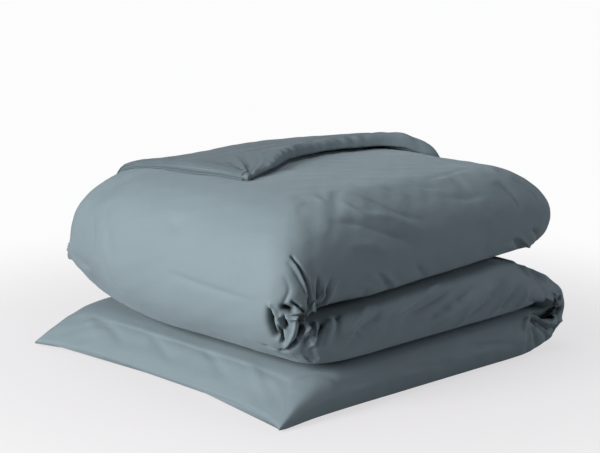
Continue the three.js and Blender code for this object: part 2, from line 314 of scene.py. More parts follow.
class Pad:
    """The grid of the folded pad: rows run along the folds' path, columns go round its section."""

    def __init__(self):
        stretches = [BOTTOM_RIBS, LOWER_FOLD_RIBS, MIDDLE_RIBS, UPPER_FOLD_RIBS, TOP_RIBS]
        ribs = sum(stretches, [])
        outer = np.array([rib_point(rib[0]) for rib in ribs])
        inner = np.array([rib_point(rib[1]) for rib in ribs])
        outer_steps = np.linalg.norm(np.diff(outer, axis=0), axis=1)
        inner_steps = np.linalg.norm(np.diff(inner, axis=0), axis=1)
        knots = np.concatenate([[0], np.cumsum(np.maximum(outer_steps, inner_steps))])
        marks = np.cumsum([len(stretch) for stretch in stretches])
        self.fold_low = (knots[marks[0]], knots[marks[1]])
        self.fold_high = (knots[marks[2]], knots[marks[3]])
        self.split = 0.5 * (knots[marks[1] + 2] + knots[marks[1] + 3])
        self.length = knots[-1]
        self.places = self.spaced_rows()
        self.outer = smooth_path(outer, knots, self.places)
        self.inner = smooth_path(inner, knots, self.places)

    def spaced_rows(self):
        """Row places, closer together round the two folds."""
        places = [0.0]
        while places[-1] < self.length - ROW_STEP:
            here = places[-1]
            folds = (self.fold_low, self.fold_high)
            near = any(start - FOLD_ROW_REACH < here < end + FOLD_ROW_REACH for start, end in folds)
            places.append(here + (FOLD_ROW_STEP if near else ROW_STEP))
        places[-1] = self.length
        return np.array(places)

    def along(self, table):
        """Interpolate a table of (distance, value) along the rows."""
        xs, values = zip(*table)
        return np.interp(self.places, xs, values)

    def section_sizes(self):
        """Along the rows: the bulge's place, how deep the sides are rounded, and how tight they turn."""
        start, end = self.fold_low
        left, right = self.fold_high
        last = self.length
        apex = self.along([
            (0, 0.12), (start - 0.10, 0.12), (start + 0.11, 0.62), (end + 0.05, 0.5), (left - 0.05, 0.42),
            (left + 0.1, 0.34), (right, 0.42), (last, 0.5),
        ])
        depth = self.along([
            (0, 0.02), (0.1, 0.095), (start - 0.1, 0.095), (start + 0.11, 0.075), (end + 0.1, 0.052),
            (left - 0.1, 0.052), (left + 0.05, 0.078), (right + 0.1, 0.105), (last, 0.11),
        ])
        outer_power = self.along([
            (start, 0.82), (end, 0.55), (end + 0.05, 0.42), (left - 0.05, 0.42), (left, 0.6),
            (left + 0.06, 0.82), (right - 0.05, 0.82), (right + 0.04, 0.46), (last - 0.1, 0.46), (last, 0.8),
        ])
        inner_power = self.along([
            (start - 0.1, 0.46), (start + 0.05, 0.82), (end, 0.6), (end + 0.05, 0.46), (left - 0.05, 0.5),
            (left + 0.06, 0.82), (last, 0.82),
        ])
        return apex, depth, outer_power, inner_power

    def grid(self):
        """Points of the whole pad, each row one section. Keeps the same points from before they settled."""
        apex, depth, outer_power, inner_power = self.section_sizes()
        rest = np.clip((self.length - self.places) / END_TRIM_LENGTH, 0, 1)
        trim = END_TRIM * (1 - np.sqrt(1 - (1 - rest) ** 2))
        sections = []
        for row in range(len(self.places)):
            outline = section_outline(apex[row], depth[row], (outer_power[row], inner_power[row]))
            outline[:, 0] *= 1 - trim[row] / HALF_WIDTH
            sections.append(outline)
        sections = np.array(sections)
        across, share = sections[..., 0], sections[..., 1]
        flat = self.outer[:, None, :] + (self.inner - self.outer)[:, None, :] * share[..., None]
        fold_end = self.fold_low[1]
        self.above = ease(self.places, fold_end - 0.02, fold_end + 0.04)[:, None]
        self.level = np.stack([flat[..., 0], across, flat[..., 1]], axis=-1)
        return settle(self.level, self.above)


# How far the soft stack has settled, in metres.
BACK_CORNERS_IN = 0.056  # the back left corners are drawn in to the right,
LOW_BACK_CORNERS_IN = 0.036  # and the low ones by this much more
BACK_CORNERS_DOWN = 0.018
TOP_NOSE_DOWN = 0.008
TOP_DOWN_AT_BACK = 0.036
TOP_DOWN_AT_FRONT = 0.007
FOOT_EDGE_BOW = 0.042


def settle(points, above):
    """Draw in and lower the back corners, dome the top and bow the foot edge, as the stack has settled.

    above is 0 on the rows of the bottom run and 1 on the rows over it.
    """
    x, y, z = points[..., 0].copy(), points[..., 1], points[..., 2].copy()
    back = ease(y, 0.03, HALF_WIDTH) ** 1.4
    left = ease(-x, 0.05, 0.40)
    low = 1 - ease(z, 0.10, 0.20)
    drawn_in = (BACK_CORNERS_IN + LOW_BACK_CORNERS_IN * low) * back * left * above
    z += (upper_crease(x + drawn_in) - upper_crease(x)) * ease(z, 0.10, 0.16)
    x += drawn_in
    z -= BACK_CORNERS_DOWN * back * ease(-x, -0.10, 0.33) * ease(z, 0.20, 0.38)
    z -= TOP_NOSE_DOWN * above * ease(x, 0.24, 0.38) * ease(z, 0.20, 0.24)
    dome = np.clip((y - 0.03) / 0.34, 0, 1) ** 2
    z -= TOP_DOWN_AT_BACK * dome * ease(z, 0.25, 0.37) * ease(x, -0.40, -0.02)
    dome = np.clip((-y - 0.05) / 0.30, 0, 1) ** 2
    z -= TOP_DOWN_AT_FRONT * dome * ease(z, 0.27, 0.37)
    edge = 1 - np.abs(y / HALF_WIDTH) ** 5
    foot = ease(-x, 0.27, 0.38) * (1 - ease(z, 0.055, 0.078))
    x += FOOT_EDGE_BOW * edge * foot
    return np.stack([x, y, z], axis=-1)


def side_outline(apex, depth, powers, steps):
    """Points (y, share of thickness) round one side, from the outer face to the inner face.

    powers are those of the two halves: the smaller, the tighter the turn into its face.
    """
    turn = np.linspace(0, np.pi, steps + 1)
    power = np.where(turn < np.pi / 2, powers[0], powers[1])
    bulge = np.abs(np.cos(turn)) ** power
    share = np.where(turn < np.pi / 2, apex - apex * bulge, apex + (1 - apex) * bulge)
    y = HALF_WIDTH - depth * (1 - np.abs(np.sin(turn)) ** power)
    return np.stack([y, share], axis=-1)


def section_outline(apex, depth, powers):
    """Points (y, share of thickness) round one section.

    They run along the front side, the inner face, the back side and the outer face.
    """
    front = side_outline(apex, depth, powers, FRONT_STEPS) * (-1, 1)
    back = side_outline(apex, depth, powers, BACK_STEPS)[::-1]
    face = np.linspace(-1, 1, FACE_STEPS + 1)[1:-1] * (HALF_WIDTH - depth)
    inner = np.stack([face, np.ones_like(face)], axis=-1)
    outer = np.stack([face[::-1], np.zeros_like(face)], axis=-1)
    return np.concatenate([front, inner, back, outer])


def grid_faces(rows, columns):
    """Four-sided faces of a grid whose columns close on themselves."""
    index = np.arange(rows * columns).reshape(rows, columns)
    a = index[:-1]
    b = index[1:]
    faces = np.stack([a, np.roll(a, -1, axis=1), np.roll(b, -1, axis=1), b], axis=-1)
    return faces.reshape(-1, 4)


def mesh_object(name, points, faces, material=None):
    mesh = bpy.data.meshes.new(name)
    mesh.from_pydata([tuple(p) for p in points], [], [tuple(f) for f in faces])
    mesh.update()
    for polygon in mesh.polygons:
        polygon.use_smooth = True
    obj = bpy.data.objects.new(name, mesh)
    bpy.context.collection.objects.link(obj)
    if material:
        mesh.materials.append(material)
    return obj


# ------------------------------------------------------------------ cloth and plastic
def new_group(name, inputs, outputs):
    group = bpy.data.node_groups.new(name, "ShaderNodeTree")
    for label, kind, value in inputs:
        socket = group.interface.new_socket(name=label, in_out="INPUT", socket_type=kind)
        socket.default_value = value
    for label, kind in outputs:
        group.interface.new_socket(name=label, in_out="OUTPUT", socket_type=kind)
    return group, group.nodes.new("NodeGroupInput"), group.nodes.new("NodeGroupOutput")


def math_node(nodes, links, operation, a, b):
    node = nodes.new("ShaderNodeMath")
    node.operation = operation
    for socket, value in zip(node.inputs, (a, b)):
        if isinstance(value, (int, float)):
            socket.default_value = value
        else:
            links.new(value, socket)
    return node.outputs[0]


def noise_node(nodes, links, vector, scale, detail, distortion=0.0):
    node = nodes.new("ShaderNodeTexNoise")
    node.inputs["Scale"].default_value = scale
    node.inputs["Detail"].default_value = detail
    node.inputs["Distortion"].default_value = distortion
    links.new(vector, node.inputs["Vector"])
    return node.outputs["Fac"]


def bands_node(nodes, links, vector, direction):
    node = nodes.new("ShaderNodeTexWave")
    node.bands_direction = direction
    node.inputs["Scale"].default_value = 1.0
    node.inputs["Distortion"].default_value = 0.4
    node.inputs["Detail"].default_value = 1.0
    links.new(vector, node.inputs["Vector"])
    return node.outputs["Fac"]


def woven_cloth_group():
    """Colour, roughness and normal of a plain woven cloth: its yarns, its slubs and its fine creases."""
    group, given, result = new_group(
        "woven_cloth",
        inputs=[
            ("Colour", "NodeSocketColor", (0.2, 0.27, 0.3, 1)),
            ("Yarn Scale", "NodeSocketFloat", 260.0),
            ("Crease Depth", "NodeSocketFloat", 0.3),
            ("Roughness", "NodeSocketFloat", 0.7),
        ],
        outputs=[
            ("Colour", "NodeSocketColor"), ("Roughness", "NodeSocketFloat"), ("Normal", "NodeSocketVector"),
        ],
    )
    nodes, links = group.nodes, group.links
    place = nodes.new("ShaderNodeTexCoord").outputs["Object"]
    stretch = nodes.new("ShaderNodeMapping")
    stretch.inputs["Rotation"].default_value = (0.3, 0.5, 0.7)
    stretch.inputs["Scale"].default_value = (1.0, 0.45, 1.0)
    links.new(place, stretch.inputs["Vector"])
    yarn_places = nodes.new("ShaderNodeVectorMath")
    yarn_places.operation = "SCALE"
    links.new(place, yarn_places.inputs[0])
    links.new(given.outputs["Yarn Scale"], yarn_places.inputs["Scale"])
    bands = [bands_node(nodes, links, yarn_places.outputs["Vector"], way) for way in "XYZ"]
    crossed = math_node(nodes, links, "MULTIPLY", bands[0], bands[1])
    yarns = math_node(nodes, links, "MAXIMUM", crossed, bands[2])
    slubs = noise_node(nodes, links, stretch.outputs["Vector"], 240.0, 3.0)
    clouds = noise_node(nodes, links, place, 5.5, 2.0)
    creases = noise_node(nodes, links, stretch.outputs["Vector"], 17.0, 5.0, 0.7)
    crumple = noise_node(nodes, links, stretch.outputs["Vector"], 52.0, 3.0, 0.5)

    shade = nodes.new("ShaderNodeMapRange")
    shade.inputs["To Min"].default_value = 0.90
    shade.inputs["To Max"].default_value = 1.10
    broad = math_node(nodes, links, "MULTIPLY", clouds, 0.6)
    small = math_node(nodes, links, "MULTIPLY", slubs, 0.4)
    tint = math_node(nodes, links, "ADD", broad, small)
    links.new(tint, shade.inputs["Value"])
    colour = nodes.new("ShaderNodeVectorMath")
    colour.operation = "SCALE"
    links.new(given.outputs["Colour"], colour.inputs[0])
    links.new(shade.outputs["Result"], colour.inputs["Scale"])
    links.new(colour.outputs["Vector"], result.inputs["Colour"])

    uneven = math_node(nodes, links, "MULTIPLY", math_node(nodes, links, "SUBTRACT", slubs, 0.5), 0.25)
    rough = math_node(nodes, links, "ADD", given.outputs["Roughness"], uneven)
    links.new(rough, result.inputs["Roughness"])

    folds = math_node(nodes, links, "ADD", creases, math_node(nodes, links, "MULTIPLY", crumple, 0.25))
    coarse = nodes.new("ShaderNodeBump")
    coarse.inputs["Distance"].default_value = 0.006
    links.new(given.outputs["Crease Depth"], coarse.inputs["Strength"])
    links.new(folds, coarse.inputs["Height"])
    fine = nodes.new("ShaderNodeBump")
    fine.inputs["Distance"].default_value = 0.0003
    fine.inputs["Strength"].default_value = 0.35
    links.new(math_node(nodes, links, "ADD", yarns, slubs), fine.inputs["Height"])
    links.new(coarse.outputs["Normal"], fine.inputs["Normal"])
    links.new(fine.outputs["Normal"], result.inputs["Normal"])
    return group


WOVEN = woven_cloth_group()
COVER_YARN_SCALE = 260.0
SHEEN_COLOUR = (0.8, 0.9, 1.0, 1)
PAINTED_FOLD_SHADE = 0.14  # share of its colour that the cloth keeps deep in a fold, as painted shade


def cloth_material(name, colour, roughness, sheen, creases, yarn_scale=COVER_YARN_SCALE):
    """Woven cloth whose colour is darkened by painted shade where its "pressed" attribute says that it lies
    deep in a fold.
    """
    material = bpy.data.materials.new(name)
    material.use_nodes = True
    nodes, links = material.node_tree.nodes, material.node_tree.links
    shader = nodes["Principled BSDF"]
    woven = nodes.new("ShaderNodeGroup")
    woven.node_tree = WOVEN
    woven.inputs["Colour"].default_value = (*colour, 1)
    woven.inputs["Yarn Scale"].default_value = yarn_scale
    woven.inputs["Crease Depth"].default_value = creases
    woven.inputs["Roughness"].default_value = roughness
    shade = nodes.new("ShaderNodeVectorMath")
    shade.operation = "SCALE"
    # Painted shade: the pressed attribute darkens the cloth's colour deep in its folds.
    fold = nodes.new("ShaderNodeAttribute")
    fold.attribute_name = "pressed"
    deep = nodes.new("ShaderNodeMapRange")
    deep.inputs["To Min"].default_value = 1.0
    deep.inputs["To Max"].default_value = PAINTED_FOLD_SHADE
    links.new(fold.outputs["Fac"], deep.inputs["Value"])
    links.new(woven.outputs["Colour"], shade.inputs[0])
    links.new(deep.outputs["Result"], shade.inputs["Scale"])
    links.new(shade.outputs["Vector"], shader.inputs["Base Color"])
    links.new(woven.outputs["Roughness"], shader.inputs["Roughness"])
    links.new(woven.outputs["Normal"], shader.inputs["Normal"])
    shader.inputs["Sheen Weight"].default_value = sheen
    shader.inputs["Sheen Roughness"].default_value = 0.45
    shader.inputs["Sheen Tint"].default_value = SHEEN_COLOUR
    shader.inputs["Specular IOR Level"].default_value = 0.35
    return material


def button_material():
    """Moulded plastic with a faint swirl."""
    material = bpy.data.materials.new("button_plastic")
    material.use_nodes = True
    nodes, links = material.node_tree.nodes, material.node_tree.links
    shader = nodes["Principled BSDF"]
    place = nodes.new("ShaderNodeTexCoord").outputs["Object"]
    swirl = noise_node(nodes, links, place, 160.0, 4.0, 2.0)
    ramp = nodes.new("ShaderNodeValToRGB")
    ramp.color_ramp.elements[0].color = (0.12, 0.17, 0.195, 1)
    ramp.color_ramp.elements[1].color = (0.24, 0.32, 0.36, 1)
    links.new(swirl, ramp.inputs["Fac"])
    links.new(ramp.outputs["Color"], shader.inputs["Base Color"])
    shader.inputs["Roughness"].default_value = 0.28
    shader.inputs["Coat Weight"].default_value = 0.3
    return material


cover_cloth = cloth_material(
    "cover_cloth", (0.168, 0.218, 0.243), roughness=0.68, sheen=0.16, creases=0.16)
reverse_cloth = cloth_material(
    "reverse_cloth", (0.124, 0.164, 0.185), roughness=0.46, sheen=0.10, creases=0.34)
ticking_cloth = cloth_material(
    "ticking_cloth", (0.78, 0.76, 0.71), roughness=0.75, sheen=0.1, creases=0.2, yarn_scale=320.0)
tape_cloth = cloth_material(
    "tape_cloth", (0.18, 0.245, 0.275), roughness=0.7, sheen=0.1, creases=0.1, yarn_scale=500.0)
label_cloth = cloth_material(
    "label_cloth", (0.80, 0.80, 0.77), roughness=0.5, sheen=0.05, creases=0.1, yarn_scale=600.0)
thread = cloth_material(
    "sewing_thread", (0.22, 0.30, 0.34), roughness=0.5, sheen=0.1, creases=0.05, yarn_scale=900.0)
button_plastic = button_material()


# ------------------------------------------------------------------ the folded body
def outward(obj):
    """Turn the faces of a closed piece outwards."""
    mesh = bmesh.new()
    mesh.from_mesh(obj.data)
    bmesh.ops.recalc_face_normals(mesh, faces=mesh.faces)
    mesh.to_mesh(obj.data)
    mesh.free()


def closed_grid(name, points, material=None):
    """A tube of rows closed by a flat cap at each end."""
    rows, columns = points.shape[:2]
    sides = grid_faces(rows, columns)[:, ::-1]
    caps = [tuple(range(columns)), tuple(range((rows - 1) * columns, rows * columns))[::-1]]
    obj = mesh_object(name, points.reshape(-1, 3), [tuple(f) for f in sides] + caps, material)
    outward(obj)
    return obj


def shade_as_whole(obj, normals, cut_row):
    """Shade a cut piece at its cut row as part of the whole it is cut from, with a sharp edge at its cap."""
    rows, columns = normals.shape[:2]
    mesh = obj.data
    ends = np.zeros((rows, columns), bool)
    ends[cut_row] = True
    ends = ends.reshape(-1)
    edges = np.zeros(len(mesh.edges) * 2, int)
    mesh.edges.foreach_get("vertices", edges)
    edges = edges.reshape(-1, 2)
    along_row = (edges // columns)[:, 0] == (edges // columns)[:, 1]
    sharp = mesh.attributes.new("sharp_edge", "BOOLEAN", "EDGE")
    sharp.data.foreach_set("value", (ends[edges].all(axis=1) & along_row))
    corner_vertices = np.zeros(len(mesh.loops), int)
    mesh.loops.foreach_get("vertex_index", corner_vertices)
    chosen = np.where(ends[corner_vertices][:, None], normals.reshape(-1, 3)[corner_vertices], 0.0)
    for cap in mesh.polygons[(rows - 1) * columns:]:
        chosen[list(cap.loop_indices)] = 0.0
    mesh.normals_split_custom_set([tuple(n) for n in chosen])


def soft_noise(points, size, seed):
    """Smooth bumps of about that size, from -1 to 1, always the same for one seed."""
    rng = np.random.default_rng(seed)
    total = np.zeros(points.shape[:-1])
    for _ in range(9):
        way = rng.normal(size=3)
        way *= rng.uniform(0.6, 1.5) * 2 * np.pi / (size * np.linalg.norm(way))
        total += np.sin(points @ way + rng.uniform(0, 2 * np.pi))
    return np.tanh(total / 3)


SIM_ROW_SKIP = 4
SIM_COLUMN_SKIP = 3
SIM_FRAMES = 20
SWELL_LIMIT = 0.008


FLOOR_HOLD = (0.004, 0.030)  # the cover is held below the first height and free above the second
CREASE_HOLD = (0.006, 0.022)  # the same for the distance from a crease
LOWER_CREASE_REACH = (0.34, 0.37)  # the lower crease holds the cover up to here in X
UPPER_CREASE_REACH = (-0.35, -0.32)  # and the upper crease from here


def free_share(points):
    """1 where the cover may swell, 0 where it is held by the floor, a crease or the run next to it."""
    x, z = points[..., 0], points[..., 2]
    free = ease(z, *FLOOR_HOLD)
    over_lower = ease(-x, -LOWER_CREASE_REACH[1], -LOWER_CREASE_REACH[0])
    over_upper = ease(x, *UPPER_CREASE_REACH)
    for crease, inside in ((lower_crease, over_lower), (upper_crease, over_upper)):
        free = free * (1 - inside * (1 - ease(np.abs(z - crease(x)), *CREASE_HOLD)))
    return free


def air_pressure(obj):
    """Give a piece the cloth simulation that swells it, held by its "held" group."""
    cloth = obj.modifiers.new("cloth", "CLOTH")
    cloth.settings.quality = 4
    cloth.settings.mass = 0.3
    cloth.settings.tension_stiffness = cloth.settings.compression_stiffness = 12
    cloth.settings.bending_stiffness = 0.4
    cloth.settings.vertex_group_mass = "held"
    cloth.settings.use_pressure = True
    cloth.settings.uniform_pressure_force = 4
    cloth.settings.effector_weights.gravity = 0
    cloth.collision_settings.use_collision = False
    cloth.collision_settings.use_self_collision = False
    cloth.point_cache.frame_start, cloth.point_cache.frame_end = 1, SIM_FRAMES


def carried_over(moved, rows, columns, shape):
    """Movements of a coarse grid, taken at some rows and columns, spread smoothly over the whole grid."""
    down = smooth_path(moved.reshape(len(rows), -1), rows, np.arange(shape[0]))
    down = down.reshape(shape[0], len(columns), 3)
    turned = np.concatenate([down[:, -2:], down, down[:, :3]], axis=1).transpose(1, 0, 2)
    marks = np.concatenate([columns[-2:] - shape[1], columns, columns[:3] + shape[1]])
    across = smooth_path(turned.reshape(len(marks), -1), marks, np.arange(shape[1]))
    return across.reshape(shape[1], shape[0], 3).transpose(1, 0, 2)


def swollen(points):
    """The grid after its cover has been swollen by air pressure in a cloth simulation on a coarser grid."""
    rows = np.unique(np.concatenate([np.arange(0, len(points), SIM_ROW_SKIP), [len(points) - 1]]))
    columns = np.arange(0, points.shape[1], SIM_COLUMN_SKIP)
    coarse = points[rows][:, columns]
    obj = closed_grid("cover_in_air", coarse)
    held = obj.vertex_groups.new(name="held")
    weights = 1 - free_share(coarse).reshape(-1)
    weights[: len(columns)] = weights[-len(columns):] = 1
    for i, weight in enumerate(weights):
        held.add([i], float(weight), "REPLACE")
    air_pressure(obj)
    scene = bpy.context.scene
    for step in range(1, SIM_FRAMES + 1):
        scene.frame_set(step)
    settled = obj.evaluated_get(bpy.context.evaluated_depsgraph_get())
    after = np.zeros(coarse.size)
    settled.data.vertices.foreach_get("co", after)
    moved = after.reshape(coarse.shape) - coarse
    length = np.linalg.norm(moved, axis=-1, keepdims=True)
    moved *= np.minimum(1, SWELL_LIMIT / np.maximum(length, 1e-9))
    scene.frame_set(1)
    bpy.data.objects.remove(obj)
    return points + carried_over(moved, rows, columns, points.shape)


# Lines that are pressed into the cover, or stand out from it where the depth is negative. Each has its
# points, the depth at its two ends and the width at its two ends, in millimetres.
FRONT_FOLD_LINES = [
    ([(-352, -348, 290), (-346, -362, 274), (-340, -372, 254), (-333, -375, 234), (-329, -374, 214)],
     (8, 34), (2.4, 2.8)),
    ([(-334, -366, 266), (-326, -374, 238), (-319, -372, 208)], (-1, -5), (7, 5)),
    ([(-360, -350, 280), (-353, -364, 258), (-345, -373, 234)], (2, 3), (6, 5)),
    ([(-352, -358, 278), (-345, -370, 252), (-338, -375, 226)], (-2, -4), (5, 4)),
    ([(-366, -362, 216), (-352, -370, 204), (-338, -373, 188)], (8, 28), (3.2, 3.6)),
    ([(-381, -359, 190), (-377, -361, 173)], (14, 18), (3, 3.5)),
    ([(-384, -352, 168), (-376, -348, 134)], (28, 26), (3.6, 3.6)),
    ([(-367, -372, 188), (-365, -368, 165), (-367, -362, 146), (-358, -340, 126)], (-6, -5), (3, 3.6)),
    ([(-356, -372, 188), (-350, -368, 166), (-352, -362, 146), (-355, -346, 128), (-357, -326, 114)],
     (30, 14), (4.4, 3.6)),
    ([(-394, -338, 198), (-394, -336, 174), (-388, -340, 146)], (24, 20), (6.5, 7)),
    ([(-394, -338, 207), (-388, -350, 192), (-381, -356, 170)], (-11, -10), (3.2, 3.4)),
    ([(-381, -358, 206), (-371, -365, 203)], (20, 23), (7, 7)),
    ([(-384, -356, 192), (-370, -366, 187), (-358, -372, 193)], (-9, -11), (3.4, 3.4)),
    ([(-370, -300, 122), (-364, -313, 120), (-357, -334, 121)], (7, 9), (2.8, 2.8)),
    ([(-341, -374, 186), (-322, -368, 180), (-300, -358, 177)], (20, 5), (4.2, 3.6)),
    ([(-334, -364, 176), (-343, -370, 164), (-346, -368, 144)], (-7, -2), (3.4, 4.5)),
    ([(-318, -358, 172), (-331, -369, 162), (-338, -367, 140)], (18, 5), (4, 5)),
    ([(-300, -356, 171), (-315, -370, 156), (-328, -373, 128)], (-10, -3), (4, 5)),
    ([(-288, -362, 170), (-303, -374, 156), (-314, -374, 134)], (17, 3), (4.5, 6)),
    ([(-268, -360, 170), (-282, -374, 156), (-294, -373, 136)], (-8, -2), (4.5, 6)),
    ([(-250, -358, 170), (-264, -374, 154), (-276, -374, 134)], (9, 2), (5, 7)),
    ([(-317, -372, 196), (-316, -373, 218), (-318, -375, 246)], (-9, -3), (3.8, 5.5)),
    ([(-307, -368, 192), (-304, -373, 216), (-304, -375, 252)], (16, 4), (3.8, 5.5)),
    ([(-297, -364, 194), (-292, -371, 214), (-289, -375, 244)], (-9, -2), (4.2, 6)),
    ([(-286, -362, 196), (-279, -370, 214), (-274, -375, 242)], (13, 3), (4.5, 6.5)),
    ([(-276, -360, 198), (-266, -370, 214), (-256, -375, 236)], (-6, -1), (5, 8)),
    ([(-373, -354, 218), (-368, -358, 236), (-370, -350, 258)], (4, 1), (5, 7)),
]
LOWER_FOLD_LINES = [
    ([(318, -352, 84), (340, -360, 80), (362, -366, 86), (380, -362, 100)], (18, 10), (5, 5)),
    ([(330, -362, 76), (356, -369, 70), (384, -366, 76)], (24, 22), (6, 7)),
    ([(300, -356, 70), (318, -366, 60), (338, -373, 45), (372, -368, 40)], (12, 6), (5, 5)),
    ([(262, -366, 58), (276, -358, 68), (292, -358, 71)], (-7, -7), (4, 4)),
    ([(296, -362, 69), (303, -366, 58)], (16, 12), (4, 4)),
    ([(290, -366, 55), (293, -374, 32), (300, -375, 14)], (8, 3), (5, 7)),
    ([(310, -367, 56), (328, -375, 34), (338, -373, 18)], (9, 3), (5, 7)),
    ([(275, -366, 54), (270, -374, 31), (268, -375, 12)], (5, 2), (6, 8)),
    ([(318, -368, 66), (344, -375, 55), (380, -362, 56)], (-6, -4), (5, 5)),
    ([(345, -362, 96), (330, -372, 112), (306, -375, 128)], (7, 1), (6, 8)),
    ([(318, -360, 92), (296, -372, 104), (268, -375, 118)], (6, 1), (6, 9)),
    ([(366, -366, 92), (362, -366, 118), (340, -366, 138)], (6, 1), (6, 9)),
    ([(388, -345, 74), (408, -325, 76)], (14, 5), (8, 9)),
]
DRAG_LINES = [
    ([(-150, -366, 140), (-110, -371, 156), (-37, -366, 174), (45, -350, 188)], (-6.1, -6.1), (8.6, 7.4)),
    ([(-128, -366, 130), (-88, -371, 144), (-15, -366, 160), (65, -352, 178)], (7.3, 6.1), (9.6, 9.6)),
    ([(40, -362, 100), (72, -369, 118), (121, -373, 148), (180, -360, 190)], (-7.3, -7.3), (8.6, 7.4)),
    ([(66, -362, 98), (98, -369, 114), (146, -373, 140), (204, -362, 178)], (7.3, 6.1), (9.6, 9.6)),
    ([(-60, -368, 116), (-6, -375, 134), (60, -372, 158), (120, -362, 184)], (7.3, 6.1), (8.6, 8.6)),
    ([(-20, -368, 108), (30, -375, 128), (92, -372, 150), (150, -364, 180)], (-3.7, -4.9), (8.6, 8.6)),
    ([(-262, -374, 122), (-230, -371, 150), (-154, -353, 176)], (-6.1, -4.9), (7.4, 7.4)),
    ([(-246, -374, 116), (-210, -371, 142), (-134, -353, 166)], (7.3, 4.9), (8.6, 8.6)),
    ([(-184, -375, 124), (-138, -368, 156), (-77, -359, 176)], (-4.9, -4.9), (8.6, 7.4)),
    ([(150, -366, 106), (192, -373, 136), (228, -368, 170)], (-6.1, -6.1), (7.4, 7.4)),
    ([(172, -366, 104), (212, -373, 130), (250, -366, 160)], (7.3, 6.1), (8.6, 8.6)),
    ([(232, -368, 104), (258, -375, 130), (268, -368, 158)], (-6.1, -4.9), (7.4, 7.4)),
    ([(-68, -235, 374), (-32, -277, 373), (13, -317, 362), (86, -333, 354)], (3, 3), (9, 9)),
    ([(-136, -276, 372), (-97, -294, 370), (-60, -322, 360), (-10, -345, 348)], (-3, -3), (9, 10)),
    ([(-160, -296, 369), (-118, -330, 357), (-67, -361, 329), (0, -372, 305)], (5, 6), (9, 11)),
    ([(-201, -297, 366), (-175, -346, 344), (-116, -358, 331), (-20, -375, 290)], (-4, -5), (10, 12)),
    ([(-261, -343, 340), (-187, -357, 329), (-130, -372, 306), (-20, -373, 256)], (5, 6), (12, 15)),
    ([(-250, -368, 300), (-180, -374, 290), (-90, -375, 250)], (-3, -4), (14, 18)),
    ([(20, -345, 350), (100, -355, 338), (190, -352, 334)], (3, 3), (12, 12)),
    ([(40, -300, 372), (130, -290, 374), (210, -270, 372)], (2, 3), (12, 12)),
    ([(231, -129, 376), (229, -275, 372), (238, -345, 352)], (-3, -4), (9, 9)),
    ([(205, -335, 356), (233, -364, 330), (250, -374, 290)], (5, 5), (9, 10)),
    ([(252, -330, 350), (290, -345, 320), (310, -350, 285)], (4, 4), (10, 10)),
    ([(240, -365, 252), (268, -356, 240), (300, -345, 232)], (-7, -7), (5, 5)),
    ([(220, -367, 252), (248, -356, 236), (278, -346, 226)], (5, 5), (5, 6)),
    ([(280, -358, 262), (300, -350, 248), (322, -338, 242)], (6, 6), (6, 6)),
    ([(-172, -374, 244), (-140, -363, 222), (-100, -344, 198)], (3, 3), (6, 7)),
    ([(-150, -374, 240), (-118, -363, 218), (-80, -344, 198)], (-4, -3), (7, 7)),
    ([(-60, -374, 236), (-40, -366, 222), (-10, -350, 204)], (4, 3), (7, 8)),
    ([(-399, -40, 222), (-400, -150, 214), (-399, -270, 210), (-394, -330, 212)], (3, 3), (9, 7)),
    ([(-377, -258, 295), (-393, -262, 254), (-397, -262, 205)], (2, 3), (9, 10)),
    ([(-313, -78, 351), (-350, -80, 328), (-385, -34, 280)], (2, 3), (16, 16)),
    ([(-362, -10, 316), (-381, -89, 287)], (2, 3), (14, 16)),
    ([(-340, 200, 320), (-372, 150, 270), (-385, 110, 200)], (4, 4), (11, 13)),
    ([(-330, 255, 300), (-352, 210, 250), (-366, 190, 190)], (4, 3), (10, 12)),
    ([(-388, 153, 223), (-388, 141, 185), (-380, 100, 140)], (4, 4), (9, 10)),
    ([(-312, 249, 60), (-322, 204, 46), (-336, 142, 30)], (6, 5), (8, 9)),
    ([(-306, 300, 55), (-325, 262, 42), (-345, 232, 26)], (-5, -4), (8, 9)),
    ([(-305, 104, 60), (-322, 41, 42), (-338, -17, 26)], (5, 4), (10, 11)),
    ([(-298, -60, 62), (-318, -120, 44), (-342, -180, 22)], (5, 4), (10, 11)),
    ([(-300, -190, 62), (-316, -230, 48), (-336, -262, 28)], (-4, -3), (10, 10)),
    ([(-320, -300, 40), (-260, -345, 46), (-160, -366, 40)], (3, 3), (12, 12)),
    ([(-120, -366, 52), (-20, -374, 40), (80, -374, 30)], (3, 3), (10, 12)),
    ([(60, -364, 60), (160, -372, 48), (250, -372, 30)], (4, 4), (9, 10)),
]


def line_push(points, line, depths, widths, fades=False):
    """How far each point is pressed in by a line, fading with the distance from it, and towards its ends."""
    line = np.asarray(line, float) / 1000
    steps = np.linalg.norm(np.diff(line, axis=0), axis=1)
    marks = np.concatenate([[0], np.cumsum(steps)]) / steps.sum()
    best = np.full(len(points), 9.0)
    place = np.zeros(len(points))
    for i in range(len(line) - 1):
        span = line[i + 1] - line[i]
        t = np.clip(((points - line[i]) @ span) / (span @ span), 0, 1)
        distance = np.linalg.norm(points - (line[i] + t[:, None] * span), axis=1)
        closer = distance < best
        best = np.where(closer, distance, best)
        place = np.where(closer, marks[i] + t * (marks[i + 1] - marks[i]), place)
    depth = (depths[0] + (depths[1] - depths[0]) * place) / 1000
    width = (widths[0] + (widths[1] - widths[0]) * place) / 1000
    if fades:
        depth = depth * ease(place, 0, 0.3) * (1 - ease(place, 0.6, 1))
    return depth / (1 + (best / width) ** 2) ** 2


def surface_tree(points):
    """A grid's surface, ready for looking up its nearest places and what a ray hits."""
    faces = grid_faces(*points.shape[:2])
    return BVHTree.FromPolygons([tuple(p) for p in points.reshape(-1, 3)], [tuple(f) for f in faces.tolist()])


LINE_POINT_STEP = 0.012


